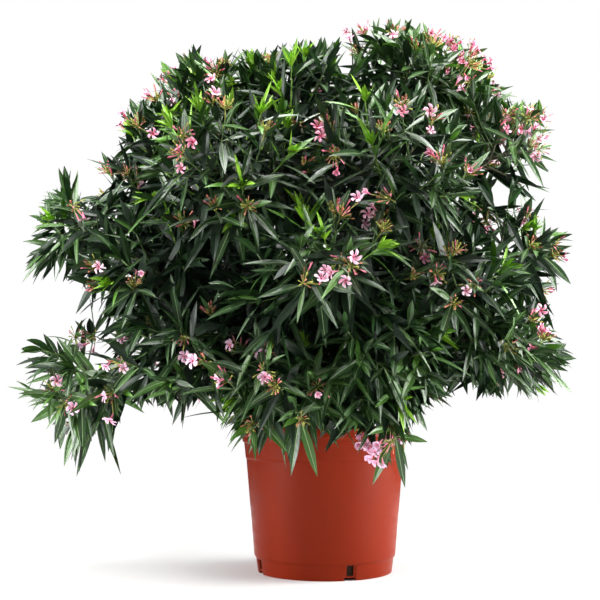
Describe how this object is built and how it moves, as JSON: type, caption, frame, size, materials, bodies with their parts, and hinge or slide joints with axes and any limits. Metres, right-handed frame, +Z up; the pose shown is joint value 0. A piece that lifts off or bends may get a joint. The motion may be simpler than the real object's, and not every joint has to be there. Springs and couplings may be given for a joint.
{
  "type": "potted oleander",
  "caption": "Large flowering oleander shrub: several leaning stems from a round plastic nursery pot carry a wide, full crown of whorled narrow leaves and heads of blossom.",
  "frame": {"origin": "centre of the pot's flat underside", "axes": "+Z up along the pot's axis; -Y towards the front of the plant, +X to the right seen from the front"},
  "size_m": [1.7673, 1.4905, 1.6931],
  "materials": {
    "pot": "satin moulded plastic, terracotta red",
    "soil": "dark, moist, crumbly potting compost",
    "bark": "smooth grey-brown bark with small pores",
    "foliage": "leathery dark green leaves with pale midribs, and pale pink blossom"
  },
  "bodies": {
    "root": {"bough_back_low_left": "bark", "bough_back_low_right": "bark", "bough_back_middle": "bark", "bough_front_low": "bark", "bough_front_low_left": "bark", "bough_front_low_middle": "bark", "bough_front_low_right": "bark", "bough_front_right_middle": "bark", "bough_inner_left": "bark", "bough_left_low": "bark", "bough_left_middle": "bark", "bough_right_low": "bark", "bough_right_low_front": "bark", "bough_right_middle": "bark", "bough_right_shoulder": "bark", "bough_top_back": "bark", "bough_top_left": "bark", "bough_top_right": "bark", "foliage_back_left": "foliage", "foliage_back_low_left": "foliage", "foliage_back_low_right": "foliage", "foliage_back_middle": "foliage", "foliage_back_right": "foliage", "foliage_front_low": "foliage", "foliage_front_low_left": "foliage", "foliage_front_low_middle": "foliage", "foliage_front_low_right": "foliage", "foliage_front_middle": "foliage", "foliage_front_right_middle": "foliage", "foliage_front_upper_left": "foliage", "foliage_front_upper_right": "foliage", "foliage_inner_left": "foliage", "foliage_left_low": "foliage", "foliage_left_middle": "foliage", "foliage_left_upper": "foliage", "foliage_right_low": "foliage", "foliage_right_low_front": "foliage", "foliage_right_middle": "foliage", "foliage_right_shoulder": "foliage", "foliage_right_upper": "foliage", "foliage_top_back": "foliage", "foliage_top_left": "foliage", "foliage_top_middle": "foliage", "foliage_top_right": "foliage", "pot": "pot", "soil": "soil", "stem_back_left": "bark", "stem_back_right": "bark", "stem_front": "bark", "stem_front_left": "bark", "stem_front_right": "bark", "stem_left": "bark", "stem_middle": "bark", "stem_right": "bark"}
  },
  "joints": []
}
